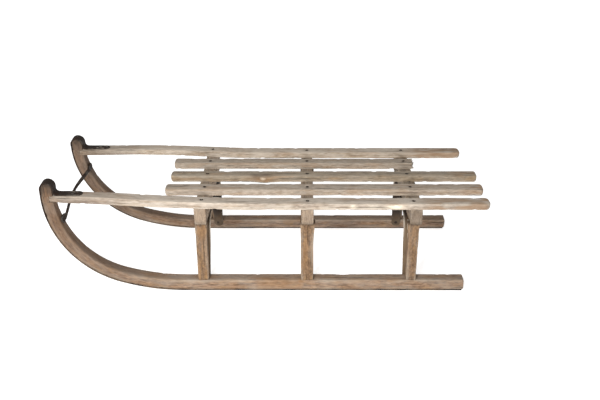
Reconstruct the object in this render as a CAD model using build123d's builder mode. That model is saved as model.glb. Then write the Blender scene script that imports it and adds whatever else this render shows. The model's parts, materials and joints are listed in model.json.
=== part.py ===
from build123d import *
from math import acos, cos, degrees, radians, sin, tan
import os

# A raised wooden sled: two bent runners shod with iron, six leaning posts, three crossbeams and a seat
# of five long slats. The front is -X, left is -Y, up is +Z, and the origin is on the ground below the
# middle of the length. Millimetres.

# ---- driving dimensions ----
overall_length = 1104.0      # front of the left horn's iron to the tip of the left seat rail
ground_gauge = 332.0         # across the outer faces of the runners, on the ground
horn_height = 301.5          # top of the iron over the horns
seat_underside = 236.5       # top of the crossbeams, where the slats lie
lean = 5.0                   # the side frames lean inwards by this angle, degrees

runner_width = 30.0          # across a runner
runner_depth = 28.5          # wood of a runner, in the plane of its bend
runner_rear = 507.0          # X of the runners' rear ends
rear_corner = 4.0            # rounding of a runner's rear end
toe_angle = 17.0             # the toe rises gently to this slope, then bends up sharply, degrees
toe_radius = 560.0           # gentle part of the bend, outside of the iron
horn_radius = 250.0          # sharp part of the bend, outside of the iron
toe_setback = {"left": 0.0, "right": 10.0}   # the right runner was bent a little shorter

iron_thickness = 3.0
iron_margin = 1.0            # wood showing on each side of the iron
tongue_length = 71.0         # iron lying on the rail, from the horn's rear face
tongue_bend = 10.0           # inside radius where the iron turns from the horn onto the rail
tongue_margin = 3.0          # rail showing on each side of the tongue

middle_beam = 103.0          # X of the middle crossbeam
beam_pitch = 260.5
beam_depth = 42.5            # height of a crossbeam
beam_length = 309.0
beam_corner = 2.0
beam_width = {"front": 33.0, "middle": 30.0, "rear": 33.0}

post_thickness = 22.0
post_width = {"front": 28.0, "middle": 32.0, "rear": 26.0}
post_shift = {"front": -6.0, "middle": -0.5, "rear": 6.0}       # middle of the post from its beam's
flare_to_front = {"front": 1.0, "middle": 1.0, "rear": 4.0}     # widening of the head
flare_to_rear = {"front": 3.0, "middle": 4.0, "rear": 1.0}
flare_height = 70.0          # length of the widening head
tenon_thickness = 12.0
tenon_shoulder = 5.0         # post width left on each side of a tenon
runner_tenon = 14.0          # depth of the tenons in the runners
beam_cover = 16.5            # crossbeam left above the tenons, deeper than the slat screws go

slat_thickness = 18.0
slat_edge = 2.5              # rounding of the long edges
slat_corner = 9.0            # rounding of the slats' ends in plan
rail_width = 31.0
rail_gauge = 311.0           # across the outer edges of the rails
rail_rise = 14.0             # the rail's underside climbs by this much towards the horn
rail_front_thickness = 16.5
rail_front_width = 28.0
rail_rise_start = -15.5      # X where the climb starts
rail_rise_end = -440.5       # X where it ends
rail_turn_start = -225.0     # X where the rails start to turn inwards to the horns
rail_housing = 9.0           # depth of the rail's end in the horn
rail_cutback = {"left": 0.0, "right": 25.0}   # the right rail ends short of the left one

left_slat_width = 31.0
left_slat_y = -69.0
left_slat_front = -257.5
left_slat_rear = 548.0
center_slat_width = 28.0
center_slat_y = 2.25
center_slat_front = -253.0
center_slat_rear = 545.5
right_slat_width = 29.0
right_slat_y = 75.0
right_slat_front = -254.0
right_slat_break = 396.0     # X of the longest splinter of the broken end
splinter = 13.0              # depth of the notches between the splinters

rod_height = {"left": 196.0, "right": 209.0}    # where the rod meets each toe
rod_diameter = 7.5
rod_bow = 12.0               # the rod is bent forward by this much at its middle
tab_thickness = 4.0
tab_width = 17.0
tab_length = 27.0            # from the tab's rounded end to its neck, across the toe
tab_neck = 3.0               # the tab stands this far clear of the toe's inner face

brace_width = 25.0
brace_thickness = 4.0
brace_bend = 38.0            # outside radius of the arch's shoulders
brace_foot = 13.0            # height of the feet's lower ends above the ground
brace_shift = {"front": 0.5, "rear": 0.0}    # middle of the brace from its crossbeam's
brace_screw_spread = 120.0   # between the two screws of an arch's crown

screw_head = 8.5
screw_shank = 4.0
screw_slot = 1.2
screw_slot_depth = 0.9
screw_bite = 12.0            # depth of the slat screws in the crossbeams
iron_screw_length = 14.0
sink = 0.3                   # screw heads lie this far below the surface
sole_screw_inset = 20.0      # from a runner's rear end to its last screw
toe_screw_angles = (30.0, 62.0)       # slopes of the toe where it has a screw
tongue_screw_places = (26.0, 55.0)    # from the horn's rear face
foot_screw_height = 12.0     # above a brace's lower end

# ---- derived ----
front = -overall_length / 2
rear = overall_length / 2
rise_sin = sin(radians(toe_angle))
rise_cos = cos(radians(toe_angle))
seat_top = seat_underside + slat_thickness
slat_screw_length = slat_thickness + screw_bite
beam_bottom = seat_underside - beam_depth
beam_place = {"front": middle_beam - beam_pitch, "middle": middle_beam, "rear": middle_beam + beam_pitch}
brace_place = {place: beam_place[place] + shift for place, shift in brace_shift.items()}
runner_stack = iron_thickness + runner_depth
rail_y = (rail_gauge - rail_width) / 2
rail_front_bottom = seat_underside + rail_rise
rail_front_top = rail_front_bottom + rail_front_thickness
horn_cap_height = horn_height - iron_thickness - runner_depth / 2
bend_height = toe_radius * (1 - rise_cos) + horn_radius * rise_cos
hollow_radius = horn_radius - runner_stack       # inner, hollow side of the toe
side_sign = {"left": -1, "right": 1}
nose = {side: front + toe_setback[side] for side in side_sign}
horn_face = {side: nose[side] + runner_stack for side in side_sign}    # X of the horn's rear face

os.makedirs("parts", exist_ok=True)


def save(builder, name):
    """Label a finished piece and write it."""
    builder.part.label = name
    export_step(builder.part, f"parts/{name}.step")


# ---- the leaning side frames ----
def half_gauge(height, depth):
    """From the middle plane to a side frame's plane, at a height and at a depth from its outer face."""
    return ground_gauge / 2 - depth - height * tan(radians(lean))


def outward(side):
    """The direction square to a side frame, away from the sled."""
    return Vector(0, side_sign[side] * cos(radians(lean)), sin(radians(lean)))


def trim_to_frame(side, outer_depth, inner_depth):
    """Keep of the part in hand only what lies between two planes of a side frame."""
    for depth, kept in ((outer_depth, Keep.BOTTOM), (inner_depth, Keep.TOP)):
        edge = (0, side_sign[side] * half_gauge(0, depth), 0)
        split(bisect_by=Plane(origin=edge, x_dir=(1, 0, 0), z_dir=outward(side)), keep=kept)


def widen(side):
    """Extrude the side outline in hand across its half of the sled."""
    extrude(amount=-side_sign[side] * ground_gauge)


# ---- outlines seen from the side ----
def toe_curve(side, inset, end):
    """A line from the rear end along a runner, round its toe and up to its horn, inset from the sole."""
    bend_start = nose[side] + horn_radius * (1 - rise_sin) + toe_radius * rise_sin
    Line((end, inset), (bend_start, inset))
    CenterArc((bend_start, toe_radius), toe_radius - inset, 270, -toe_angle)
    bend_centre = (nose[side] + horn_radius, bend_height)
    CenterArc(bend_centre, horn_radius - inset, 270 - toe_angle, toe_angle - 90)
    Line((nose[side] + inset, bend_height), (nose[side] + inset, horn_cap_height))


def horn_cap(side, radius):
    """The half circle over a horn."""
    CenterArc((nose[side] + iron_thickness + runner_depth / 2, horn_cap_height), radius, 180, -180)


def tongue_line(side, lift):
    """The line down a horn's rear face and out along its rail, lifted off the wood."""
    face = horn_face[side]
    Line((face + lift, horn_cap_height), (face + lift, rail_front_top + tongue_bend))
    CenterArc((face + tongue_bend, rail_front_top + tongue_bend), tongue_bend - lift, 180, 90)
    Line((face + tongue_bend, rail_front_top + lift), (face + tongue_length, rail_front_top + lift))


def toe_point(side, slope, radius):
    """A point of the sharp bend, given the slope of the toe there, in degrees."""
    x = nose[side] + horn_radius - radius * sin(radians(slope))
    return x, bend_height - radius * cos(radians(slope))


# ---- seat rails, whole ----
rail_body = {}
for side, sign in side_sign.items():
    tip = rear - rail_cutback[side]
    housed = horn_face[side] - rail_housing
    horn_outer = sign * half_gauge(rail_front_top, 0)
    horn_inner = horn_outer - sign * rail_front_width
    rail_outer = sign * rail_gauge / 2
    rail_inner = rail_outer - sign * rail_width
    with BuildPart() as rail:
        with BuildSketch(Plane.XZ):
            with BuildLine():
                Line((tip, seat_underside), (rail_rise_start, seat_underside))
                Spline(
                    (rail_rise_start, seat_underside),
                    (rail_rise_end, rail_front_bottom),
                    tangents=((-1, 0), (-1, 0)),
                )
                Polyline(
                    (rail_rise_end, rail_front_bottom),
                    (housed, rail_front_bottom),
                    (housed, rail_front_top),
                    (rail_rise_end, rail_front_top),
                )
                Spline(
                    (rail_rise_end, rail_front_top),
                    (rail_rise_start, seat_top),
                    tangents=((1, 0), (1, 0)),
                )
                Polyline((rail_rise_start, seat_top), (tip, seat_top), (tip, seat_underside))
            make_face()
        widen(side)
        with BuildSketch(Plane.XY):
            with BuildLine():
                Line((tip - rail_width / 2, rail_outer), (rail_turn_start, rail_outer))
                Spline(
                    (rail_turn_start, rail_outer),
                    (housed, horn_outer),
                    tangents=((-1, 0), (-1, 0)),
                )
                Line((housed, horn_outer), (housed, horn_inner))
                Spline(
                    (housed, horn_inner),
                    (rail_turn_start, rail_inner),
                    tangents=((1, 0), (1, 0)),
                )
                Line((rail_turn_start, rail_inner), (tip - rail_width / 2, rail_inner))
                ThreePointArc(
                    (tip - rail_width / 2, rail_inner),
                    (tip, sign * rail_y),
                    (tip - rail_width / 2, rail_outer),
                )
            make_face()
        extrude(amount=horn_height, mode=Mode.INTERSECT)
    rail_body[side] = rail.part


# ---- inner slats, whole ----
def slat(y, width, first, last):
    """A flat slat with rounded ends and eased long edges."""
    with BuildPart() as board:
        with BuildSketch(Plane.XY.offset(seat_underside)):
            with Locations(((first + last) / 2, y)):
                RectangleRounded(last - first, width, slat_corner)
        extrude(amount=slat_thickness)
        fillet(board.edges().group_by(Axis.Z)[-1], slat_edge)
    return board.part


slat_body = {
    "left": slat(left_slat_y, left_slat_width, left_slat_front, left_slat_rear),
    "center": slat(center_slat_y, center_slat_width, center_slat_front, center_slat_rear),
}
with BuildPart() as broken_slat:
    add(slat(right_slat_y, right_slat_width, right_slat_front, left_slat_rear))
    with BuildSketch(Plane.XY.offset(seat_underside)):
        low = right_slat_y - right_slat_width
        high = right_slat_y + right_slat_width
        tooth = right_slat_width / 7
        with BuildLine():
            Polyline(
                (right_slat_break - splinter / 2, low),
                (right_slat_break - splinter / 2, right_slat_y - 3 * tooth),
                (right_slat_break, right_slat_y - 2.2 * tooth),
                (right_slat_break - splinter, right_slat_y - tooth),
                (right_slat_break - splinter / 3, right_slat_y + 0.4 * tooth),
                (right_slat_break - splinter, right_slat_y + 1.5 * tooth),
                (right_slat_break - splinter / 4, right_slat_y + 3 * tooth),
                (right_slat_break - splinter / 4, high),
                (left_slat_rear + slat_corner, high),
                (left_slat_rear + slat_corner, low),
                close=True,
            )
        make_face()
    extrude(amount=slat_thickness, mode=Mode.SUBTRACT)
slat_body["right"] = broken_slat.part


# ---- screws ----
def blanks(seats, length):
    """Countersunk screws without slots: each head lies in its seat and its shank runs down from it."""
    cone = (screw_head - screw_shank) / 2
    top = (Align.CENTER, Align.CENTER, Align.MAX)
    with BuildPart() as screws:
        with Locations(*seats):
            Cylinder(screw_shank / 2, length, align=top)
            Cone(screw_shank / 2, screw_head / 2, cone, align=top)
    return screws.part


def slotted(bodies, seats, name):
    """Cut the slots, each turned as its screw happened to stop, and write the screws."""
    with BuildPart() as screws:
        add(bodies)
        for number, seat in enumerate(seats):
            with Locations(seat.rotated((0, 0, 67.0 * number))):
                Box(screw_head, screw_slot, 2 * screw_slot_depth, mode=Mode.SUBTRACT)
    save(screws, name)


def seat_on(x, y, z, normal):
    """The plane of a screw's head, sunk a little below the surface it is driven into."""
    normal = Vector(normal).normalized()
    across = Vector(0, 1, 0) if abs(normal.Y) < abs(normal.Z) else Vector(1, 0, 0)
    return Plane(origin=Vector(x, y, z) - normal * sink, x_dir=across, z_dir=normal)


def top_of(body, x, y):
    """Height of a body's top at a place in plan."""
    hits = body.find_intersection_points(Axis((x, y, 0), (0, 0, 1)))
    return max(point.Z for point, _ in hits)


slat_seats = []
for x in beam_place.values():
    for side, sign in side_sign.items():
        height = top_of(rail_body[side], x, sign * rail_y)
        slat_seats.append(seat_on(x, sign * rail_y, height, (0, 0, 1)))
    for y in (left_slat_y, center_slat_y, right_slat_y):
        slat_seats.append(seat_on(x, y, seat_top, (0, 0, 1)))
slat_blanks = blanks(slat_seats, slat_screw_length)
slotted(slat_blanks, slat_seats, "slat_screws")

sole_seats = []
tongue_seats = []
rod_seats = []
foot_seats = []
for side, sign in side_sign.items():
    middle = runner_width / 2
    sole_places = (
        beam_place["front"] + beam_pitch / 2,
        beam_place["middle"] + beam_pitch / 2,
        runner_rear - sole_screw_inset,
    )
    for x in sole_places:
        sole_seats.append(seat_on(x, sign * half_gauge(0, middle), 0, (0, 0, -1)))
    for slope in toe_screw_angles:
        x, z = toe_point(side, slope, horn_radius)
        normal = (-sin(radians(slope)), 0, -cos(radians(slope)))
        sole_seats.append(seat_on(x, sign * half_gauge(z, middle), z, normal))
    tongue_y = sign * (half_gauge(rail_front_top, 0) - rail_front_width / 2)
    for step in tongue_screw_places:
        top = rail_front_top + iron_thickness
        tongue_seats.append(seat_on(horn_face[side] + step, tongue_y, top, (0, 0, 1)))
    slope = degrees(acos((bend_height - rod_height[side]) / hollow_radius))
    x, z = toe_point(side, slope, hollow_radius - tab_thickness)
    normal = (sin(radians(slope)), 0, cos(radians(slope)))
    screw_depth = runner_width + tab_neck - tab_length + tab_width / 2
    rod_seats.append(seat_on(x, sign * half_gauge(z, screw_depth), z, normal))
    for x in brace_place.values():
        z = brace_foot + foot_screw_height
        y = sign * half_gauge(z, runner_width + brace_thickness)
        foot_seats.append(seat_on(x, y, z, -outward(side)))
crown_seats = [
    seat_on(x, sign * brace_screw_spread / 2, beam_bottom - brace_thickness, (0, 0, -1))
    for x in brace_place.values()
    for sign in side_sign.values()
]
sole_blanks = blanks(sole_seats, iron_screw_length)
tongue_blanks = blanks(tongue_seats, iron_screw_length)
rod_blanks = blanks(rod_seats, iron_screw_length)
brace_blanks = blanks(foot_seats + crown_seats, iron_screw_length)
slotted(sole_blanks, sole_seats, "sole_screws")
slotted(tongue_blanks, tongue_seats, "tongue_screws")
slotted(rod_blanks, rod_seats, "rod_screws")
slotted(brace_blanks, foot_seats + crown_seats, "brace_screws")


# ---- posts with their tenons ----
def tenons(place, side):
    """The tongue inside a post that runs from its mortise in the runner to the one in the beam."""
    height = seat_underside - beam_cover - runner_stack + runner_tenon
    with BuildPart() as stem:
        with BuildSketch(Plane.XZ):
            with Locations((beam_place[place] + post_shift[place], runner_stack - runner_tenon)):
                width = post_width[place] - 2 * tenon_shoulder
                Rectangle(width, height, align=(Align.CENTER, Align.MIN))
        widen(side)
        shoulder = (post_thickness - tenon_thickness) / 2
        trim_to_frame(side, shoulder, shoulder + tenon_thickness)
    return stem.part


stems = {(place, side): tenons(place, side) for place in beam_place for side in side_sign}
for (place, side), stem in stems.items():
    post_x = beam_place[place] + post_shift[place]
    foot_front = post_x - post_width[place] / 2
    foot_rear = post_x + post_width[place] / 2
    head_front = (foot_front - flare_to_front[place], beam_bottom)
    head_rear = (foot_rear + flare_to_rear[place], beam_bottom)
    neck = beam_bottom - flare_height
    with BuildPart() as post:
        with BuildSketch(Plane.XZ):
            with BuildLine():
                Polyline(
                    (foot_front, neck),
                    (foot_front, runner_stack),
                    (foot_rear, runner_stack),
                    (foot_rear, neck),
                )
                TangentArc((foot_rear, neck), head_rear, tangent=(0, 1))
                Line(head_rear, head_front)
                TangentArc((foot_front, neck), head_front, tangent=(0, 1))
            make_face()
        widen(side)
        trim_to_frame(side, 0, post_thickness)
        add(stem)
    save(post, f"post_{place}_{side}")

# ---- crossbeams ----
for place, x in beam_place.items():
    with BuildPart() as beam:
        with BuildSketch(Plane.XY.offset(beam_bottom)):
            with Locations((x, 0)):
                RectangleRounded(beam_width[place], beam_length, beam_corner)
        extrude(amount=beam_depth)
        if x < rail_rise_start:
            # the rails have begun to climb here, so the beam's ends reach up to them
            with BuildSketch(Plane.XY.offset(seat_underside)):
                reach = beam_length / 2 - rail_gauge / 2 + rail_width
                with Locations((x, (beam_length - reach) / 2), (x, (reach - beam_length) / 2)):
                    Rectangle(beam_width[place] - 2 * beam_corner, reach)
            extrude(amount=rail_rise)
        for side in side_sign:
            add(rail_body[side], mode=Mode.SUBTRACT)
            add(stems[place, side], mode=Mode.SUBTRACT)
        add(slat_blanks, mode=Mode.SUBTRACT)
        if place != "middle":
            add(brace_blanks, mode=Mode.SUBTRACT)
    save(beam, f"beam_{place}")

# ---- rails and slats with their screw holes ----
for side in side_sign:
    with BuildPart() as rail:
        add(rail_body[side])
        add(slat_blanks, mode=Mode.SUBTRACT)
        add(tongue_blanks, mode=Mode.SUBTRACT)
    save(rail, f"seat_rail_{side}")
for name, body in slat_body.items():
    with BuildPart() as board:
        add(body)
        add(slat_blanks, mode=Mode.SUBTRACT)
    save(board, f"slat_{name}")

# ---- runners and their irons ----
for side, sign in side_sign.items():
    with BuildPart() as runner:
        with BuildSketch(Plane.XZ) as outline:
            with BuildLine():
                toe_curve(side, iron_thickness, runner_rear)
                toe_curve(side, runner_stack, runner_rear)
                horn_cap(side, runner_depth / 2)
                Line((runner_rear, iron_thickness), (runner_rear, runner_stack))
            make_face()
            fillet(outline.vertices().group_by(Axis.X)[-1], rear_corner)
        widen(side)
        trim_to_frame(side, 0, runner_width)
        add(rail_body[side], mode=Mode.SUBTRACT)
        for place in beam_place:
            add(stems[place, side], mode=Mode.SUBTRACT)
        for screws in (sole_blanks, rod_blanks, brace_blanks):
            add(screws, mode=Mode.SUBTRACT)
    save(runner, f"runner_{side}")

    with BuildPart() as iron:
        iron_end = runner_rear - rear_corner
        tongue_end = horn_face[side] + tongue_length
        with BuildSketch(Plane.XZ):
            with BuildLine():
                toe_curve(side, 0, iron_end)
                toe_curve(side, iron_thickness, iron_end)
                Line((iron_end, 0), (iron_end, iron_thickness))
                horn_cap(side, runner_depth / 2)
                horn_cap(side, runner_depth / 2 + iron_thickness)
                tongue_line(side, 0)
                tongue_line(side, iron_thickness)
                Line((tongue_end, rail_front_top), (tongue_end, rail_front_top + iron_thickness))
            make_face()
        widen(side)
        trim_to_frame(side, iron_margin, runner_width - iron_margin)
        # the tongue narrows to a round end, inside the rail's edges
        tongue_width = rail_front_width - 2 * tongue_margin
        tongue_y = sign * (half_gauge(rail_front_top, 0) - rail_front_width / 2)
        tongue_start = horn_face[side] + tongue_bend
        with BuildSketch(Plane.XY.offset(rail_front_top)):
            with Locations(((tongue_start + tongue_end) / 2, tongue_y)):
                Rectangle(tongue_end - tongue_start, 2 * runner_width)
            with Locations(((tongue_start + tongue_end) / 2 - tongue_width / 2, tongue_y)):
                SlotOverall(tongue_end - tongue_start + tongue_width, tongue_width, mode=Mode.SUBTRACT)
        extrude(amount=iron_thickness, mode=Mode.SUBTRACT)
        add(sole_blanks, mode=Mode.SUBTRACT)
        add(tongue_blanks, mode=Mode.SUBTRACT)
    save(iron, f"runner_iron_{side}")

# ---- cross rod between the toes ----
with BuildPart() as rod:
    rod_ends = []
    for side, sign in side_sign.items():
        slope = degrees(acos((bend_height - rod_height[side]) / hollow_radius))
        spread = degrees(tab_width / 2 / hollow_radius)
        with BuildPart(mode=Mode.PRIVATE) as tab:
            with BuildSketch(Plane.XZ):
                with BuildLine():
                    centre = (nose[side] + horn_radius, bend_height)
                    CenterArc(centre, hollow_radius, 270 - slope - spread, 2 * spread)
                    CenterArc(centre, hollow_radius - tab_thickness, 270 - slope - spread, 2 * spread)
                    for edge in (slope - spread, slope + spread):
                        outer = toe_point(side, edge, hollow_radius)
                        Line(outer, toe_point(side, edge, hollow_radius - tab_thickness))
                make_face()
            widen(side)
            trim_to_frame(side, runner_width + tab_neck - tab_length, runner_width + tab_neck)
            corners = tab.edges().filter_by(lambda edge: abs(edge.length - tab_thickness) < 0.2)
            fillet(corners.sort_by(Axis.Y, reverse=sign > 0)[:2], tab_width / 2 - 1)
            add(rod_blanks, mode=Mode.SUBTRACT)
        add(tab.part)
        x, z = toe_point(side, slope, hollow_radius - rod_diameter / 2 - 0.5)
        rod_ends.append(Vector(x, sign * half_gauge(z, runner_width), z))
    with BuildLine() as bow:
        middle_point = (rod_ends[0] + rod_ends[1]) * 0.5 - Vector(rod_bow, 0, 0)
        ThreePointArc(rod_ends[0], middle_point, rod_ends[1])
    with BuildSketch(Plane(origin=bow.line @ 0, z_dir=bow.line % 0)):
        Circle(rod_diameter / 2)
    sweep()
save(rod, "front_rod")

# ---- arched braces ----
for place, x in brace_place.items():
    foot = Vector(-half_gauge(brace_foot, runner_width), brace_foot)
    shoulder = Vector(-half_gauge(beam_bottom, runner_width), beam_bottom)
    with BuildPart() as brace:
        with BuildSketch(Plane.YZ.offset(x)):
            with BuildLine():
                FilletPolyline(
                    foot,
                    shoulder,
                    (-shoulder.X, shoulder.Y),
                    (-foot.X, foot.Y),
                    radius=brace_bend,
                )
                offset(amount=brace_thickness, side=Side.RIGHT)
            make_face()
        extrude(amount=brace_width / 2, both=True)
        ends = brace.edges().filter_by(lambda edge: abs(edge.length - brace_thickness) < 0.01)
        fillet(ends, brace_width / 2 - 1)
        add(brace_blanks, mode=Mode.SUBTRACT)
    save(brace, f"brace_{place}")
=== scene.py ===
import json
import bpy
import numpy as np
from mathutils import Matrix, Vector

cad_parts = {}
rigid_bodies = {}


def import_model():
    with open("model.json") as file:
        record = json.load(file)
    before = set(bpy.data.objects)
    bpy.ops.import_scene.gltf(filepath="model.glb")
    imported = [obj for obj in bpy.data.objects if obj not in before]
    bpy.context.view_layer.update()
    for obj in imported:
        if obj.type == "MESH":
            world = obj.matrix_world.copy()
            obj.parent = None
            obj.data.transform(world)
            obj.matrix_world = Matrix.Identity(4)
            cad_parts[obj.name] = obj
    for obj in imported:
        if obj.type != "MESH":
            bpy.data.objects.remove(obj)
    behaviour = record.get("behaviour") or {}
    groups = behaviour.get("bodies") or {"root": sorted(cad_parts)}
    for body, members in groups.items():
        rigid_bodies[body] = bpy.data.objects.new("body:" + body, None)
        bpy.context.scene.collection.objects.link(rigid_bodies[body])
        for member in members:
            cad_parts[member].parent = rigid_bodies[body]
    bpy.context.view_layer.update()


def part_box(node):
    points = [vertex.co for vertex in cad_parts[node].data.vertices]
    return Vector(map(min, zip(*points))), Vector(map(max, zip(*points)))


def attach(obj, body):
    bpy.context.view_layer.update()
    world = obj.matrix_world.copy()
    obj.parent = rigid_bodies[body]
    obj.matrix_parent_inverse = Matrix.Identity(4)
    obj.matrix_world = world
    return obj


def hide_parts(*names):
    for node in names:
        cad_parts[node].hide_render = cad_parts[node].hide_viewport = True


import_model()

# An old raised sled. Every piece is made as a straight stick in its own measures, worn, split and
# dented there, and then bent to its line. Measures are in millimetres until a mesh is written.
MM = 0.001

lean = np.radians(5.0)
iron_thickness = 3.0
iron_margin = 1.0
runner_depth = 28.5
runner_width = 30.0
stack = iron_thickness + runner_depth
toe_angle = np.radians(17.0)
toe_radius = 560.0
horn_radius = 250.0
tongue_length = 71.0
tongue_bend = 10.0
tongue_width = 22.0
rail_width = 31.0
rail_front_width = 28.0
rail_front_thickness = 16.5
rail_climb = (-440.5, -15.5)     # X between which the rails climb towards the horns
rail_turn = -225.0               # X where they start to turn inwards
rail_housing = 9.0
slat_thickness = 18.0
slat_corner = 9.0
rod_height = {"left": 196.0, "right": 209.0}
rod_diameter = 7.5
rod_bow = 12.0
tab_thickness = 4.0
tab_width = 17.0
tab_length = 27.0
tab_neck = 3.0
brace_thickness = 4.0
brace_bend = 38.0
post_thickness = 22.0
tenon_thickness = 12.0
tenon_shoulder = 5.0
flare_height = 70.0
screw_dish = 4.9                 # reach of the countersunk dish round a screw in the iron
tongue_screw_places = (26.0, 55.0)
foot_screw = 12.0                # from a brace's lower end
crown_screw = 60.0               # from the middle of its crown
# widening of the posts' heads to the front and to the rear
post_flare = {"front": (1.0, 3.0), "middle": (1.0, 4.0), "rear": (4.0, 1.0)}
brace_skew = {"front": 4.5, "rear": 0.0}    # how far the feet stand off square, the near one forward
beam_skew = {"front": -4.5, "middle": 0.0, "rear": 8.5}     # and the near end of a beam, to the rear
beam_taper = {"front": 4.0, "middle": 0.0, "rear": 4.0}     # how much narrower that end is
brace_spread = 4.0              # half of how much wider a brace is at its crown than at its feet
rail_sag = {"left": 2.8, "right": 0.0}    # how much thicker a rail is left towards its horn
rod_broader = 1.4               # how much thicker the rod's right half was forged
arris_highlights = {"post_front_left": (1, 34.0), "post_rear_left": (-1, 56.0)}    # painted highlight down an arris of two posts: arris (-1 front), its length
knot_place = (-12.0, -5.5)      # the centre slat's knot: X, and down from the near upper arris
knot_bulge = 6.0                # how far the slat was left wide at it
arris = {"runner": 2.6, "strap": 0.9, "post": 2.4, "beam": 2.2, "slat": 1.9, "rail": 2.0, "rod": 3.7,
         "brace": 1.0}           # rounding of each piece's long edges
arris_reach = 3.0               # how far over the flats an arris counts as edge
ring_pitch = 2.4                # between the ash's growth rings
step_gap = 0.05                 # half the length in which a tenon's shoulder or a notch steps
shoulder_gap = 0.6              # and a crossbeam's end
runner_end_round = 4.0          # rounding of a runner's rear end
beam_end_round = 1.6            # and of the other pieces' ends, over their thickness
slat_end_round = 5.5
rail_tip_round = 8.0
knot_depth = 7.0                # how far below the slat's middle the knot's colours reach
brown_from = {"slat": 455.0, "rail": 350.0}    # X behind which the tips have stayed brown
handled_from = -290.0           # X ahead of which the left and right rails are dark from hands
knocks = ((318, 19, 1.0), (215, 9, 0.7), (262, 12, 0.35))    # the left rail's scars: X, reach, depth
side_sign = {"left": -1.0, "right": 1.0}


def corners(node):
    """Lowest and highest corner of a frame node, in millimetres."""
    low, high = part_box(node)
    return np.array(low) / MM, np.array(high) / MM


half_gauge = corners("runner_right")[1][1] + iron_thickness * np.tan(lean)    # outer faces, on the ground
cap_height = corners("runner_iron_left")[1][2] - iron_thickness - runner_depth / 2
bend_height = toe_radius * (1 - np.cos(toe_angle)) + horn_radius * np.cos(toe_angle)
hollow_radius = horn_radius - stack
nose = {side: corners("runner_iron_" + side)[0][0] for side in side_sign}
horn_face = {side: nose[side] + stack for side in side_sign}
runner_end = corners("runner_left")[1][0]
iron_end = corners("runner_iron_left")[1][0]
beam_bottom, seat_underside = corners("beam_middle")[0][2], corners("beam_middle")[1][2]
rail_front_top = corners("seat_rail_left")[1][2]
rail_rise = rail_front_top - rail_front_thickness - seat_underside
rail_outer = corners("seat_rail_right")[1][1]
beam_x = [sum(corners("beam_" + name)[k][0] for k in (0, 1)) / 2 for name in ("front", "middle", "rear")]


# ---- noise and easing ----
def scatter(ix, iy, iz, seed):
    """A repeatable number from 0 to 1 for each lattice point, by mixing the bits of its coordinates."""
    mixed = ix * 374761393 + iy * 668265263 + iz * 1442695041 + seed * 974634777
    mixed = ((mixed ^ (mixed >> 13)) & 0x7FFFFFFF) * 1274126177
    return ((mixed ^ (mixed >> 16)) & 0xFFFFFF) / 0xFFFFFF


def ease(t):
    """A smooth step from 0 to 1: 3t^2 - 2t^3."""
    t = np.clip(t, 0, 1)
    return t * t * (3 - 2 * t)


def noise(x, y, z, seed):
    """Smooth noise from 0 to 1: the numbers at a cell's eight corners, blended by the smooth step."""
    x, y, z = np.broadcast_arrays(x, y, z)
    ix, iy, iz = (np.floor(v).astype(np.int64) for v in (x, y, z))
    tx, ty, tz = ease(x - ix), ease(y - iy), ease(z - iz)
    total = 0.0
    for dx, share_x in ((0, 1 - tx), (1, tx)):
        for dy, share_y in ((0, 1 - ty), (1, ty)):
            for dz, share_z in ((0, 1 - tz), (1, tz)):
                total = total + share_x * share_y * share_z * scatter(ix + dx, iy + dy, iz + dz, seed)
    return total


def draw_in(gap, radius):
    """How far a side draws in at a distance from its end, as a quarter circle of that radius."""
    gap = np.clip(gap, 0, radius)
    return radius - np.sqrt(np.maximum(radius**2 - (radius - gap) ** 2, 0))


def bell(distance, reach):
    """1 at no distance, falling off as a bell curve."""
    return np.exp(-((distance / reach) ** 2))


# ---- the stick ----
def pith(name):
    """Where a piece was sawn from the trunk: its own stretch of it, 20 to 60 mm from the tree's middle."""
    draw = np.random.default_rng([ord(letter) for letter in name])
    reach, turn = draw.uniform(0.020, 0.060), draw.uniform(0, 2 * np.pi)
    return np.array((draw.uniform(0, 40), reach * np.cos(turn), reach * np.sin(turn)))


def section(half_width, half_height, corner, spacing):
    """The columns of a rounded section: places from -1 to 1 on its flats, and angles round its corners.

    A column lies at flat * (half size - corner) + corner * (cos, sin), so one set fits all sizes.
    """
    flat_y, flat_z, angle = [], [], []
    for turn in range(4):
        half = half_height if turn % 2 == 0 else half_width
        step = np.linspace(-1, 1, max(2, int(round(2 * (half - corner) / spacing))) + 1)
        arc = np.linspace(0, np.pi / 2, 6)[1:-1]
        run = np.concatenate((step, np.ones(len(arc))))
        side = np.ones(len(run))
        flat_y.append((side, -run, -side, run)[turn])
        flat_z.append((run, side, -run, -side)[turn])
        angle.append(turn * np.pi / 2 + np.concatenate((np.zeros(len(step)), arc)))
    return np.concatenate(flat_y), np.concatenate(flat_z), np.concatenate(angle)


def stations(length, spacing, end_zone, extra):
    """Places along a stick: even in the middle, and closing up as a square law towards both ends."""
    near = end_zone * (np.arange(9) / 9) ** 2
    middle = np.linspace(end_zone, length - end_zone, max(3, int(length / spacing)))
    return np.unique(np.concatenate((near, middle, length - near, extra)))


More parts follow.
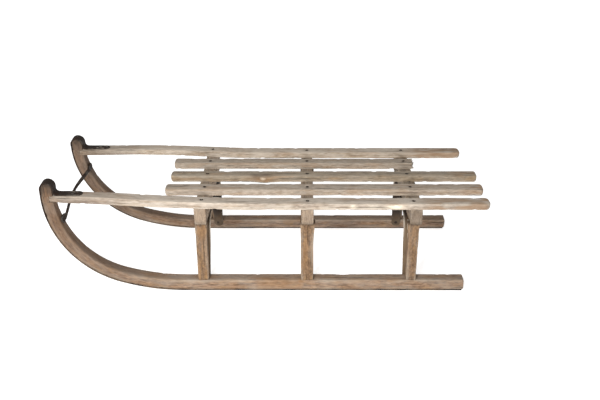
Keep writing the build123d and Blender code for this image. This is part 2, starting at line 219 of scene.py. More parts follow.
def write_mesh(name, points, quads, fans, values):
    """Put computed points, faces and values into a mesh, its outside outwards."""
    triangles = np.concatenate((quads[:, :3], quads[:, [0, 2, 3]], fans))
    a, b, c = (points[triangles[:, k]] for k in range(3))
    if np.einsum("ij,ij->i", a, np.cross(b, c)).sum() < 0:
        quads, fans = quads[:, ::-1], fans[:, ::-1]
    mesh = bpy.data.meshes.new(name)
    mesh.from_pydata((points * MM).tolist(), [], quads.tolist() + fans.tolist())
    mesh.polygons.foreach_set("use_smooth", np.ones(len(mesh.polygons), bool))
    for key, value in values.items():
        vector = value.ndim == 2
        layer = mesh.attributes.new(key, "FLOAT_VECTOR" if vector else "FLOAT", "POINT")
        layer.data.foreach_set("vector" if vector else "value", value.astype(np.float32).ravel())
    piece = bpy.data.objects.new(name, mesh)
    bpy.context.scene.collection.objects.link(piece)
    return piece


def stick(name, length, half_width, half_height, corner, place, relief, marks,
          spacing=(2.8, 1.35), end_zone=8.0, extra=(), push=None, full=0.0):
    """A stick: a rounded section carried along its length, worn, closed at both ends, then placed.

    half_width(s) and half_height(s) are the half sizes at a place s along it. relief(s, y, z, edge) is
    the depth worn off inwards, marks(s, y, z, edge) the values its finish reads, push(s, y, z) moves
    points back along it, and place(s, y, z) takes it to its line. full is the oversize that the wear
    works down from. edge is 1 on the arrises and falls off over the flats as a bell curve.
    """
    s = stations(length, spacing[0], end_zone, extra)
    wide, high = half_width(s)[:, None], half_height(s)[:, None]
    flat_y, flat_z, angle = section(wide.max(), high.max(), corner, spacing[1])
    radius = np.minimum(corner, 0.98 * np.minimum(wide, high))
    y = flat_y * (wide - radius) + radius * np.cos(angle)
    z = flat_z * (high - radius) + radius * np.sin(angle)
    s = np.repeat(s[:, None], len(angle), 1)
    from_corner = (1 - np.abs(flat_y)) * (wide - radius) + (1 - np.abs(flat_z)) * (high - radius)
    edge = bell(from_corner, arris_reach)
    depth = np.clip(relief(s, y, z, edge) - full, -full, 0.45 * np.minimum(wide, high))
    y = y - depth * np.cos(angle)
    z = z - depth * np.sin(angle)
    # the ends are closed by their own sections, drawn in ring by ring to a middle point
    rings = np.array([0.3, 0.6, 0.85])[:, None]
    grids, poles = [], []
    for grid, drawn_in in ((s, np.ones_like(rings)), (y, rings), (z, rings), (edge, rings**8)):
        ends = []
        for row in (0, -1):
            middle = 0.0 if grid is edge else grid[row].mean()
            ends.append((middle + drawn_in * (grid[row] - middle), middle))
        (first, first_pole), (last, last_pole) = ends
        grids.append(np.concatenate((first, grid, last[::-1])))
        poles.append((first_pole, last_pole))
    rows, columns = grids[0].shape
    s, y, z, edge = (np.append(grid, pole) for grid, pole in zip(grids, poles))
    values = marks(s, y, z, edge)
    values["edge"] = edge
    sawn = np.zeros((rows, columns))
    sawn[[0, 1, 2, -3, -2, -1]] = 1
    values["sawn"] = np.append(sawn, (1, 1))
    values["grain"] = np.stack((s, y, z), 1) * MM + pith(name)
    if push:
        s = s - push(s, y, z)
    row, column = np.meshgrid(np.arange(rows - 1), np.arange(columns), indexing="ij")
    beside = (column + 1) % columns
    quads = np.stack((row * columns + column, (row + 1) * columns + column,
                      (row + 1) * columns + beside, row * columns + beside), -1).reshape(-1, 4)
    ring = np.arange(columns)
    beside = (ring + 1) % columns
    pole = np.full(columns, rows * columns)
    last_ring = (rows - 1) * columns
    fans = np.concatenate((np.stack((pole, ring, beside), 1),
                           np.stack((pole + 1, last_ring + beside, last_ring + ring), 1)))
    return write_mesh(name, np.stack(place(s, y, z), 1), quads, fans, values)


# ---- wear of old ash ----
def splits(s, y, z, length, seed, count):
    """Drying splits, as a depth from 0 to 1: thin lines along the grain that wander a little.

    Each is a bell curve across its line, faded in and out along it. They open at the ends first.
    """
    draw = np.random.default_rng(seed)
    total = np.zeros_like(s)
    for number in range(count):
        at_end = number < count // 2
        reach = (draw.uniform(35, 110) if at_end else draw.uniform(60, 220)) * min(1, length / 320)
        ends_at = (-0.3 * reach, length - 0.7 * reach)
        start = draw.choice(ends_at) if at_end else draw.uniform(0, length - reach)
        turn = draw.uniform(0, 2 * np.pi)
        offset = draw.uniform(-9, 9)
        line = offset + 1.6 * (noise(s / 45, 0 * s, 0 * s, seed + number) - 0.5)
        across = y * np.cos(turn) + z * np.sin(turn)
        facing = ease(0.4 + 0.12 * (y * -np.sin(turn) + z * np.cos(turn)))
        along = ease((s - start) / (0.3 * reach)) * ease((start + reach - s) / (0.3 * reach))
        total = np.maximum(total, bell(across - line, 0.75) * along * facing)
    return total


def weathering(length, seed, fibre=0.3, hollow=0.5, dent=1.6, count=12):
    """The relief of bare old ash, as a function for a stick.

    Raised fibres (noise drawn out along the grain), soft hollows, nicks on the arrises and splits.
    """
    def relief(s, y, z, edge):
        fibres = noise(s / 70, y / 1.9, z / 1.9, seed) * fibre
        hollows = noise(s / 55, y / 13, z / 13, seed + 1) ** 2 * hollow
        nicks = edge * ease(2.4 * noise(s / 13, y / 9, z / 9, seed + 2) - 1.35) * dent
        worn = edge * noise(s / 90, y / 20, z / 20, seed + 3) * 0.9
        return fibres + hollows + nicks + worn + 1.3 * splits(s, y, z, length, seed, count)
    return relief


def wood_marks(length, seed, count=12, **more):
    """Values for the finish of wood: its splits, and any named marks given as functions."""
    def marks(s, y, z, edge):
        values = {"split": splits(s, y, z, length, seed, count)}
        for key, mark in more.items():
            values[key] = mark(s, y, z)
        return values
    return marks


def shear(y, z):
    """Lean of a side frame: a point leans inwards by its height times the slope."""
    return y - z * np.tan(lean)


def astride(places, gap):
    """Extra stations on both sides of each place, for a shoulder or a notch to step between."""
    return [place + way * gap for place in places for way in (-1, 1)]


def round_screws(screws):
    """Extra stations that let a dish or a hollow come out round."""
    return [place + step for place in screws for step in np.arange(-6.0, 6.1, 0.8)]


# ---- lines in a plane ----
def follow(start, heading, runs):
    """A line of straight runs and arcs, each (length, turn): headings add up, and steps along them add
    up to places. Returns a function of s and offset that gives both coordinates, offset to its right."""
    knots = np.concatenate(([0], np.cumsum([run[0] for run in runs])))
    turns = heading + np.concatenate(([0], np.cumsum([run[1] for run in runs])))
    fine = np.linspace(0, knots[-1], 12000)
    angle = np.interp(fine, knots, turns)
    step = np.diff(fine)
    middle = (angle[1:] + angle[:-1]) / 2
    across = start[0] + np.concatenate(([0], np.cumsum(np.cos(middle) * step)))
    up = start[1] + np.concatenate(([0], np.cumsum(np.sin(middle) * step)))

    def at(s, offset):
        turned = np.interp(s, fine, angle)
        return (np.interp(s, fine, across) + offset * np.sin(turned),
                np.interp(s, fine, up) - offset * np.cos(turned))
    return at, knots


def toe_runs(side, inset, end):
    """The runs of a line along a runner, round its toe and up its horn, inset from the sole."""
    bend_start = nose[side] + horn_radius * (1 - np.sin(toe_angle)) + toe_radius * np.sin(toe_angle)
    return [
        (end - bend_start, 0.0),
        ((toe_radius - inset) * toe_angle, -toe_angle),
        ((horn_radius - inset) * (np.pi / 2 - toe_angle), toe_angle - np.pi / 2),
        (cap_height - bend_height, 0.0),
    ]


def keep(piece, slot, *nodes):
    """Let a piece ride on the frame and stand for its frame nodes. Its slot is not used."""
    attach(piece, "root")
    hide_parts(*nodes)
    return piece


def none(s, y, z):
    """No mark."""
    return np.zeros_like(s)


# ---- runners, bent and worn ----
def runner(side, seed):
    """A runner: along the sole, round the toe in two arcs and up the horn, which ends in a half circle. A
    notch in the horn's rear face takes the rail."""
    inset = iron_thickness + runner_depth / 2
    line, knots = follow(
        (runner_end, inset), np.pi, toe_runs(side, inset, runner_end) + [(runner_depth / 2, 0.0)]
    )
    length = knots[-1]
    rail_bottom_s = knots[3] + rail_front_top - rail_front_thickness - bend_height
    rail_top_s = knots[3] + rail_front_top - bend_height

    def housing(s):
        """The notch that takes the rail's end: 1 inside it and 0 outside."""
        return ((s > rail_bottom_s) & (s < rail_top_s)).astype(float)

    def half_height(s):
        """Half the depth, less the rounded ends and half the notch."""
        round_ends = draw_in(s, runner_end_round) + draw_in(length - s, runner_depth / 2)
        return runner_depth / 2 - round_ends - housing(s) * rail_housing / 2

    def place(s, y, z):
        """Onto the bent line, shifted by half the notch so that only the rear face steps in."""
        x, up = line(s, z - housing(s) * rail_housing / 2)
        return x, side_sign[side] * shear(half_gauge - runner_width / 2 + y, up), up

    def horn(s, y, z):
        """The handled, darkened horn, painted shade on the toe's hollow face, and a painted falloff of the
        light towards the rear end.
        """
        risen = ease((s - knots[1]) / (length - knots[1]))
        # painted shade on the toe's hollow face
        hollow = ease((z - 8) / 5) * ease((s - knots[1]) / 150)
        # painted falloff of the light towards the runner's rear end
        rear = 0.18 * ease((110 - s) / 70)
        return np.clip(rear + 0.15 * ease((s - knots[1] + 40) / 110) + 0.65 * risen + 0.5 * hollow, 0, 1)

    def patches(s, y, z):
        """Brown wood under the worn grey: a long patch by the middle post, and loose ones elsewhere."""
        x = runner_end - s
        long_patch = ease((x + 35) / 14) * ease((98 - x) / 14) * ease((y - 3) / 5)
        loose = ease(5 * noise(s / 46, y / 11, z / 11, seed + 60) - 3.1)
        return np.clip(0.5 * long_patch * (side == "left") + 0.38 * loose, 0, 1)

    def iron_stain(s, y, z):
        """Rust and damp drawn up from the sole, and down from the tongue."""
        sole = bell(z + runner_depth / 2, 3.5) * (0.5 + noise(s / 30, y / 9, z / 9, seed + 40))
        cap = bell(length - s, 26.0) * (0.4 + 0.8 * noise(s / 8, y / 5, z / 5, seed + 41))
        return np.clip(0.55 * sole + cap, 0, 1)

    return stick(
        "runner_wood_" + side, length, lambda s: runner_width / 2 - draw_in(s, 2.5), half_height,
        arris["runner"], place, weathering(length, seed, hollow=0.6, count=16),
        wood_marks(length, seed, 16, stain=iron_stain, dark=horn, tan=patches, bare=none),
        extra=astride((rail_bottom_s, rail_top_s), step_gap), full=0.2,
    )


# ---- runner irons ----
def hammered(seed, screws=(), facing=1, dent=0.22):
    """The relief of forged strap: shallow hammer marks, pits, worn arrises and a dish for each screw.

    A dish is a flat-bottomed bell round the screw's place along the strap, on the face that facing names.
    """
    def relief(s, y, z, edge):
        marks = noise(s / 12, y / 7, z / 7, seed) ** 2 * dent
        pits = ease(6 * noise(s / 3, y / 3, z / 3, seed + 1) - 4.6) * 0.25
        total = marks + pits + edge * 0.15 * noise(s / 25, y / 9, z / 9, seed + 2)
        for place in screws:
            dish = np.exp(-((np.hypot(s - place, y) / screw_dish) ** 6)) * (z * facing > 0)
            total = np.maximum(total, 0.75 * dish)
        return total
    return relief


def iron_marks(rubbed=none, rusty=none):
    """Values for the finish of iron: where it is rubbed bright, and where it has rusted brown."""
    def marks(s, y, z, edge):
        return {"rubbed": rubbed(s, y, z), "rusty": rusty(s, y, z)}
    return marks


def runner_iron(side, seed):
    """A runner's strap: along the sole, round the toe, over the horn in a half circle, down its rear face
    and out onto the rail, where it narrows to a tongue with a round end."""
    inset = iron_thickness / 2
    runs = toe_runs(side, inset, iron_end) + [
        (np.pi * (runner_depth / 2 + inset), -np.pi),
        (cap_height - rail_front_top - tongue_bend, 0.0),
        ((tongue_bend - inset) * np.pi / 2, np.pi / 2),
        (tongue_length - tongue_bend, 0.0),
    ]
    line, knots = follow((iron_end, inset), np.pi, runs)
    length = knots[-1]
    full = runner_width / 2 - iron_margin

    def to_tongue(s):
        """0 on the runner, 1 on the tongue, by the smooth step over the last bend."""
        return ease((s - knots[6]) / (knots[7] - knots[6] + 8))

    def half_width(s):
        """Half the strap's width, or half the tongue's, less the round end."""
        narrowed = full + (tongue_width / 2 - full) * to_tongue(s)
        return narrowed - draw_in(length - s, tongue_width / 2)

    def place(s, y, z):
        """Onto the bent line in the leaning plane, and moved across to the rail's middle on the tongue."""
        x, up = line(s, z)
        lean_middle = half_gauge - runner_width / 2
        rail_middle = shear(half_gauge, rail_front_top) - rail_front_width / 2
        onto_rail = (rail_middle - shear(lean_middle, rail_front_top)) * to_tongue(s)
        flat = np.where(s > knots[6], rail_front_top, up)
        return x, side_sign[side] * (shear(lean_middle + y, flat) + onto_rail), up

    def rubbed(s, y, z):
        """The tongue's end, rubbed bright in spots, the right one more, where the spots are also a painted
        reflection.
        """
        spots = ease(7 * noise(s / 9, y / 4, z / 9, seed + 5) - 3.9)
        spots = spots * ease((s - length + 40) / 14) * ease((length - s - 5) / 6) * (z < 0)
        return spots * (0.9 if side == "right" else 0.25)

    def rusty(s, y, z):
        """Brown rust and dirt along the sole and up the toe, less on the handled horn."""
        return 0.6 * ease((knots[3] - s) / 120) * ease(3 * noise(s / 30, y / 9, z / 9, seed + 6) - 0.7)

    tongue_screws = [length - tongue_length + step for step in tongue_screw_places]
    return stick(
        "strap_" + side, length, half_width, lambda s: inset - 0.4 * draw_in(length - s, 1.4),
        arris["strap"], place, hammered(seed, tongue_screws, facing=-1), iron_marks(rubbed, rusty),
        spacing=(3.0, 1.2), extra=round_screws(tongue_screws),
    )


# ---- posts with their tenons ----
def post(place_name, side, seed):
    """A leaning post: its head widens below the beam, and a thinner tenon goes on at both ends."""
    node = f"post_{place_name}_{side}"
    low, high = corners(node)
    to_front, to_rear = post_flare[place_name]
    foot = (low[0] + to_front, high[0] - to_rear)
    length = high[2] - low[2]
    sole, head = stack - low[2], beam_bottom - low[2]

    def body(s):
        """Whether a place is between the two shoulders."""
        return (s > sole) & (s < head)

    def flare(s):
        """How far the head has widened, from 0 to 1 as a square law."""
        return np.clip((s - head + flare_height) / flare_height, 0, 1) ** 2

    def half_width(s):
        """Half the foot's width and the widening, or half the tenon's."""
        half = (foot[1] - foot[0]) / 2
        return np.where(body(s), half + flare(s) * (to_front + to_rear) / 2, half - tenon_shoulder)

    def place(s, y, z):
        """Upright, leant inwards, and shifted where it widens more to one side."""
        shift = np.where(body(s), flare(s) * (to_rear - to_front) / 2, 0)
        up = low[2] + s
        across = shear(half_gauge - post_thickness / 2 + z, up)
        return (foot[0] + foot[1]) / 2 + shift + y, side_sign[side] * across, up

    def joints(s, y, z):
        """Damp dirt at the two shoulders."""
        return 0.25 * bell(s - sole, 5.0) + 0.75 * bell(head - s - 1, 4.5)

    def patches(s, y, z):
        """Brown wood under the worn grey."""
        return 0.5 * ease(5 * noise(s / 30, y / 8, z / 8, seed + 60) - 2.8)

    def painted_arris_highlight(s, y, z):
        """A painted highlight: a bright line down the inner arris of two posts."""
        way, reach = arris_highlights.get(node, (0, 1.0))
        beside = np.hypot(way * y - half_width(s), z + post_thickness / 2 - 3)
        broken = 0.5 + 0.8 * noise(s / 9, 0 * s, 0 * s, seed + 61)
        return np.clip(abs(way) * bell(beside, 3.0) * ease((s - head + reach) / 14) * broken, 0, 1)

    def painted_under_seat_shade(s, y, z):
        """Painted shade on the inner face, under the seat, thickest up by the beam."""
        return 0.75 * ease((-z - 8) / 3) * ease((s - head + 110) / 90)

    return stick(
        "post_wood_" + place_name + "_" + side, length, half_width,
        lambda s: np.where(body(s), post_thickness, tenon_thickness) / 2, arris["post"], place,
        weathering(length, seed, hollow=0.7, dent=1.2, count=7),
        wood_marks(length, seed, 7, stain=joints, dark=painted_under_seat_shade, tan=patches, bare=painted_arris_highlight),
        spacing=(2.2, 1.5), end_zone=4.0, extra=astride((sole, head), step_gap), full=0.4,
    )


# ---- crossbeams ----
def climb(x):
    """How far the rails have climbed at X, by the smooth step."""
    return rail_rise * ease((rail_climb[1] - x) / (rail_climb[1] - rail_climb[0]))


def beam(place_name, seed):
    """A crossbeam from left to right, its ends rounded, its near end narrower and out of square."""
    low, high = corners("beam_" + place_name)
    middle = (low[0] + high[0]) / 2
    length = high[1] - low[1]
    half_length = length / 2
    shoulder = rail_outer - rail_width + shoulder_gap

    def raised(s):
        """The ends of the front beam reach up to the climbing rails."""
        return np.where(np.abs(s - half_length) > shoulder, climb(middle), 0.0)

    def half_height(s):
        """Half the depth, with the raised ends, less their rounding."""
        round_ends = draw_in(np.minimum(s, length - s), beam_end_round)
        return (seat_underside - beam_bottom + raised(s)) / 2 - round_ends

    def half_width(s):
        """Half the width, less the narrowing near end and the rounding."""
        narrower = beam_taper[place_name] / 2 * ease(1 - s / 90)
        round_ends = draw_in(np.minimum(s, length - s), beam_end_round)
        return (high[0] - low[0]) / 2 - narrower - round_ends

    def place(s, y, z):
        """From left to right along Y, turned out of square in proportion to the place."""
        up = (seat_underside + beam_bottom + raised(s)) / 2 + z
        return middle + y + beam_skew[place_name] * (1 - s / length), low[1] + s, up

    def joints(s, y, z):
        """Dirt where the posts meet the beam from below."""
        under = ease(-z / 6 - 2)
        return under * bell(np.abs(s - half_length) - half_length + 15, 14.0)

    return stick(
        "beam_wood_" + place_name, length, half_width, half_height, arris["beam"], place,
        weathering(length, seed, hollow=0.6, count=3),
        wood_marks(length, seed, 3, stain=joints, dark=none, tan=none, bare=none),
        spacing=(2.6, 1.7), end_zone=5.0, full=0.5,
        extra=astride((half_length - shoulder, half_length + shoulder), shoulder_gap),
    )


# ---- slats and rails ----
def screw_hollows(relief, screws):
    """A relief with a small crushed hollow round each screw on the upper face."""
    def deeper(s, y, z, edge):
        depth = relief(s, y, z, edge)
        for place in screws:
            reach = np.hypot(s - place, y)
            depth = depth + 1.2 * np.exp(-((reach / 5.6) ** 4)) * (z > 0)
        return depth
    return deeper


def screw_stains(screws, seed):
    """Black iron stain round each screw, drawn out along the grain."""
    def stain(s, y, z):
        total = np.zeros_like(s)
        for place in screws:
            reach = np.hypot((s - place) / (1.2 + 0.8 * noise(s / 9, y / 3, 0 * s, seed + 50)), y)
            total = total + 0.45 * bell(reach, 4.6) * (z > 0)
        return np.clip(total, 0, 1)
    return stain


def brown_tips(rear_of, seed, start):
    """Brown wood towards the rear tips, in drawn-out patches. rear_of gives X from a place along."""
    def tan(s, y, z):
        reached = ease((rear_of(s) - start) / 90)
        blotches = ease(3.2 * noise(s / 34, y / 6, z / 6, seed + 70) - 0.9)
        loose = ease(6 * noise(s / 60, y / 7, z / 7, seed + 71) - 4.1)
        return np.clip(0.75 * reached * blotches + 0.35 * loose, 0, 1)
    return tan


def slat(name, seed, tan=None, bare=none, dark=none, push=None, swell=none):
    """A slat from front to rear, its ends rounded in plan and over their thickness. push sets a torn
    end back, swell moves the slat's side out."""
    low, high = corners("slat_" + name)
    length = high[0] - low[0]
    broken = push is not None

    def half_width(s):
        """Half the width, less a quarter circle at each whole end."""
        rear = 0 if broken else draw_in(length - s, slat_corner)
        return (high[1] - low[1]) / 2 - draw_in(s, slat_corner) - rear

    def half_height(s):
        """Half the thickness, less a quarter circle at each whole end."""
        rear = 0 if broken else draw_in(length - s, slat_end_round)
        return slat_thickness / 2 - draw_in(s, slat_end_round) - rear

    def place(s, y, z):
        """Along X on the crossbeams."""
        across = (low[1] + high[1]) / 2 + y + swell(s, y, z)
        return low[0] + s, across, seat_underside + slat_thickness / 2 + z

    screws = [x - low[0] for x in beam_x]
    tan = tan or brown_tips(lambda s: low[0] + s, seed, brown_from["slat"])
    return stick(
        "slat_wood_" + name, length, half_width, half_height, arris["slat"], place,
        screw_hollows(weathering(length, seed), screws),
        wood_marks(length, seed, stain=screw_stains(screws, seed), dark=dark, tan=tan, bare=bare),
        extra=round_screws(screws), push=push, full=0.75,
    )


def rail(side, seed, bare=none):
    """A seat rail from its rear tip into the horn's notch: it climbs, turns inwards and gets thinner and
    narrower on the way, each by the smooth step."""
    tip = corners("seat_rail_" + side)[1][0]
    housed = horn_face[side] - rail_housing
    length = tip - housed
    start_middle = rail_outer - rail_width / 2
    horn_middle = shear(half_gauge, rail_front_top) - rail_front_width / 2

    def turned(s):
        """How far the rail has turned in to the horn, from 0 to 1."""
        return ease((rail_turn - tip + s) / (rail_turn - housed))

    def half_width(s):
        """Half the width, narrowing with the turn, less the round tip."""
        straight = rail_width + (rail_front_width - rail_width) * turned(s)
        return straight / 2 - draw_in(s, rail_width / 2 - 0.8)

    def thickness(s):
        """The thickness, which thins as the rail climbs, and its sag."""
        thinner = (slat_thickness - rail_front_thickness) * climb(tip - s) / rail_rise
        return slat_thickness - thinner + sag(s)

    def sag(s):
        """Wood left on the underside, faded in and out along it."""
        return rail_sag[side] * ease((s - tip - 100) / 250) * ease((length - s - 4) / 30)

    def half_height(s):
        """Half the thickness, less the rounded tip."""
        return thickness(s) / 2 - draw_in(s, rail_tip_round)

    def place(s, y, z):
        """Along X, climbing and turning inwards."""
        middle = start_middle + (horn_middle - start_middle) * turned(s)
        up = seat_underside + climb(tip - s) - sag(s) + thickness(s) / 2 + z
        return tip - s, side_sign[side] * (middle + y), up

    def handled(s, y, z):
        """The rail darkens from many hands towards the horn, most underneath, and towards the rear tip,
        which is a painted falloff of the light.
        """
        near = ease((handled_from - tip + s) / 160)
        worn = near * (0.62 - 0.03 * z + 0.3 * noise(s / 30, y / 8, z / 8, seed + 80))
        # the last term is a painted falloff of the light towards the rear tip
        return np.clip(worn + 0.22 * ease((tip - s - 330) / 90), 0, 1)

    screws = [tip - x for x in beam_x]
    tan = brown_tips(lambda s: tip - s, seed, brown_from["rail"])
    return stick(
        "rail_wood_" + side, length, half_width, half_height, arris["rail"], place,
        screw_hollows(weathering(length, seed), screws),
        wood_marks(length, seed, stain=screw_stains(screws, seed), dark=handled, tan=tan, bare=bare),
        extra=round_screws(screws), full=0.75,
    )


# ---- cross rod and braces ----
def front_rod(seed):
    """The rod lies along Y: flat tabs on the toes' hollow faces, and a bowed round rod between."""
    slope = {s: np.arccos((bend_height - rod_height[s]) / hollow_radius) for s in side_sign}

    def face(side, lift):
        """X and height on a toe's hollow face, or lifted off it."""
        x = nose[side] + horn_radius - (hollow_radius - lift) * np.sin(slope[side])
        return x, bend_height - (hollow_radius - lift) * np.cos(slope[side])

    neck = {}
    outer = {}
    for side, way in side_sign.items():
        gauge = shear(half_gauge - runner_width, face(side, 0)[1])
        neck[side] = way * (gauge - tab_neck)
        outer[side] = way * (gauge - tab_neck + tab_length)
    length = outer["right"] - outer["left"]

    def from_tab(s):
        """0 in the tabs, 1 in the round rod, over a short neck."""
        gap = np.minimum(s, length - s) - tab_length + 4
        return ease(gap / 14)

    def half_width(s):
        """Half a tab's width with its round end, or half the rod's."""
        tab = tab_width / 2 - draw_in(np.minimum(s, length - s), tab_width / 2 - 1)
        broader = rod_broader * ease((s - length / 2) / 70)
        return tab + (rod_diameter / 2 + broader - tab) * from_tab(s)

    def half_height(s):
        """Half a tab's thickness, or half the rod's."""
        return tab_thickness / 2 + (rod_diameter - tab_thickness) / 2 * from_tab(s)

    def place(s, y, z):
        """Between the two faces in a straight line, lifted off it and bowed forward as a sine."""
        across = outer["left"] + s
        t = np.clip((across - neck["left"]) / (neck["right"] - neck["left"]), 0, 1)
        angle = slope["left"] + (slope["right"] - slope["left"]) * t
        lift = tab_thickness / 2 + (rod_diameter / 2 + 0.5 - tab_thickness / 2) * from_tab(s)
        start, finish = (np.array(face(side, 0)) for side in ("left", "right"))
        bow = rod_bow * np.sin(np.pi * t) ** 1.4
        x = start[0] + (finish[0] - start[0]) * t - bow
        up = start[1] + (finish[1] - start[1]) * t
        x = x + (lift + z) * np.sin(angle) - y * np.cos(angle)
        up = up + (lift + z) * np.cos(angle) + y * np.sin(angle)
        return x, across, up

    screws = [tab_width / 2, length - tab_width / 2]
    return stick(
        "cross_rod", length, half_width, half_height, arris["rod"], place, hammered(seed, screws, dent=0.3),
        iron_marks(), spacing=(2.2, 1.0), end_zone=9.0, extra=round_screws(screws)[3:-3],
    )


def brace(place_name, seed):
    """A brace: an arch of flat iron, leg, bend, crown, bend and leg, with round feet."""
    low, high = corners("brace_" + place_name)
    middle = (low[0] + high[0]) / 2
    foot_across = -shear(half_gauge - runner_width, low[2]) + brace_thickness / 2
    tilt = np.pi / 2 - lean
    bend = brace_bend - brace_thickness / 2
    crown = beam_bottom - brace_thickness / 2
    leg = (crown - low[2] - bend * (1 - np.cos(tilt))) / np.cos(lean)
    half_crown = -foot_across - leg * np.sin(lean) - bend * np.sin(tilt)
    runs = [(leg, 0.0), (bend * tilt, -tilt), (2 * half_crown, 0.0), (bend * tilt, -tilt), (leg, 0.0)]
    line, knots = follow((foot_across, low[2]), tilt, runs)
    length = knots[-1]
    half = (high[0] - low[0]) / 2

    def place(s, y, z):
        """Onto the arch, turned out of square in proportion to the place."""
        across, up = line(s, z)
        return middle + y + brace_skew[place_name] * (2 * s / length - 1), across, up

    def half_width(s):
        """Half the width, less the round feet, and wider by the smooth step up to the crown."""
        from_end = np.minimum(s, length - s)
        return half - draw_in(from_end, half - 1) + brace_spread * ease(from_end / leg)

    def rusty(s, y, z):
        """The legs have rusted to the brown of the wood beside them, the right one only at its foot; above
        it the right leg stays black as painted shade under the seat.
        """
        mottled = 0.75 + 0.4 * noise(s / 16, y / 9, z / 9, seed + 6)
        foot = ease((s - length + 60) / 45) * 0.5
        return np.clip((ease((leg + 45 - s) / 50) + foot) * mottled, 0, 1)

    def rubbed(s, y, z):
        """The legs' arrises, rubbed bright beside the beam, and partly a painted highlight along them."""
        from_arris = half_width(s) - np.abs(y)
        return bell(from_arris, 2.4) * bell(np.minimum(s, length - s) - leg - 12, 38)

    screws = [foot_screw, length - foot_screw] + [length / 2 + way * crown_screw for way in (-1, 1)]
    return stick(
        "arch_" + place_name, length, half_width, lambda s: np.full_like(s, brace_thickness / 2),
        arris["brace"], place, hammered(seed, screws, dent=0.3), iron_marks(rubbed, rusty),
        spacing=(2.6, 1.2), extra=round_screws(screws),
    )


# ---- marks that single slats and rails bear ----
def knocked(s, y, z):
    """Pale new wood where the left rail's outer side was knocked: a few long scars."""
    x = corners("seat_rail_left")[1][0] - s
    torn = noise(s / 5, z / 2, 0 * s, 172)
    scars = 0.0
    for middle, reach, deep in knocks:
        scars = scars + deep * bell(x - middle, reach) * bell(z + 1 - 2 * torn, 4.5)
    return np.clip(1.5 * scars * (0.5 + torn) * (y > 0), 0, 1)


def from_knot(s, y, z):
    """Place from the middle of the centre slat's knot: along it, over its near arris from the side
    face to the upper one, and as one wandering measure."""
    low, high = corners("slat_center")
    along = low[0] + s - knot_place[0]
    over = y + z + (high[1] - low[1] - slat_thickness) / 2 - knot_place[1]
    wander = noise(s / 6, y / 3.5, z / 4, 188) - 0.5
    return along, over, np.hypot(along / 7.5, over / 4.8) + 0.6 * wander


def knot(s, y, z):
    """Dark wood beside the knot: in front of it, along its far edge, and a rim."""
    along, over, reach = from_knot(s, y, z)
    beside = bell(np.hypot((along + 20) / 13, (over - 5) / 12), 1.0)
    behind = bell(np.hypot((along - 5) / 17, (over - 15) / 5), 1.0)
    rim = bell(reach - 1.2, 0.3)
    return np.clip(0.75 * beside + 0.65 * behind + 0.5 * rim, 0, 1) * (z > -knot_depth)


def knot_halo(s, y, z):
    """Yellow-brown wood swirling round the knot, and the brown tip."""
    along, over, _ = from_knot(s, y, z)
    tip = brown_tips(lambda s: corners("slat_center")[0][0] + s, 187, brown_from["slat"])
    swirl = bell(np.hypot((along - 4) / 34, over / 10) + 0.5 * noise(s / 7, y / 3, z / 3, 189) - 0.25, 1.0)
    return np.clip(0.9 * swirl + tip(s, y, z), 0, 1)


def knot_heart(s, y, z):
    """The knot itself, hard pale wood rubbed yellow."""
    return 0.42 * bell(from_knot(s, y, z)[2], 0.9) * (z > -knot_depth)


def knot_swelling(s, y, z):
    """The slat was left wide round the knot, on its near edge."""
    return -knot_bulge * bell(from_knot(s, y, z)[0] - 3, 26) * ease((4 - y) / 14)


def splintered(s, y, z):
    """How far the torn end is set back: a jagged line across it, rougher through its thickness."""
    low, high = corners("slat_right")
    tooth = (high[1] - low[1]) / 7
    # places across the slat, counted in teeth, and how far each is set back
    jags = np.interp(y / tooth, (-3, -2.2, -1, 0.4, 1.5, 3), (6.5, 0, 13, 4.5, 13, 3.2))
    torn = jags + 9 * noise(y / 1.1, z / 2.2, 0 * s, 191)
    from_end = high[0] - low[0] - s
    return torn * ease(1 - from_end / 34)


# ---- the pieces ----
for side in side_sign:
    keep(runner(side, 11 if side == "left" else 23), "frame_wood", "runner_" + side)
    keep(runner_iron(side, 31 if side == "left" else 37), "dark_iron", "runner_iron_" + side)
for number, place_name in enumerate(("front", "middle", "rear")):
    for side in side_sign:
        seed = 100 + 10 * number + (side == "left")
        keep(post(place_name, side, seed), "frame_wood", f"post_{place_name}_{side}")
    keep(beam(place_name, 140 + number), "beam_wood", "beam_" + place_name)
for place_name in ("front", "rear"):
    keep(brace(place_name, 150 + len(place_name)), "dark_iron", "brace_" + place_name)
keep(front_rod(160), "dark_iron", "front_rod")
keep(rail("left", 171, bare=knocked), "seat_wood", "seat_rail_left")
keep(rail("right", 179), "seat_wood", "seat_rail_right")
keep(slat("left", 181), "seat_wood", "slat_left")
keep(slat("center", 187, tan=knot_halo, dark=knot, bare=knot_heart, swell=knot_swelling),
     "seat_wood", "slat_center")
keep(slat("right", 193, push=splintered), "seat_wood", "slat_right")


# ---- finishes ----
def linear(hex_colour):
    """An sRGB hex colour as linear light."""
    parts = [int(hex_colour[k:k + 2], 16) / 255 for k in (0, 2, 4)]
    return [p / 12.92 if p <= 0.04045 else ((p + 0.055) / 1.055) ** 2.4 for p in parts] + [1.0]


def wire(tree, made, links):
    """Give a node its inputs, by name or number: each a number, a hex colour or another node's output."""
    for key, value in links.items():
        if isinstance(value, bpy.types.NodeSocket):
            tree.links.new(value, made.inputs[key])
        else:
            made.inputs[key].default_value = linear(value) if isinstance(value, str) else value


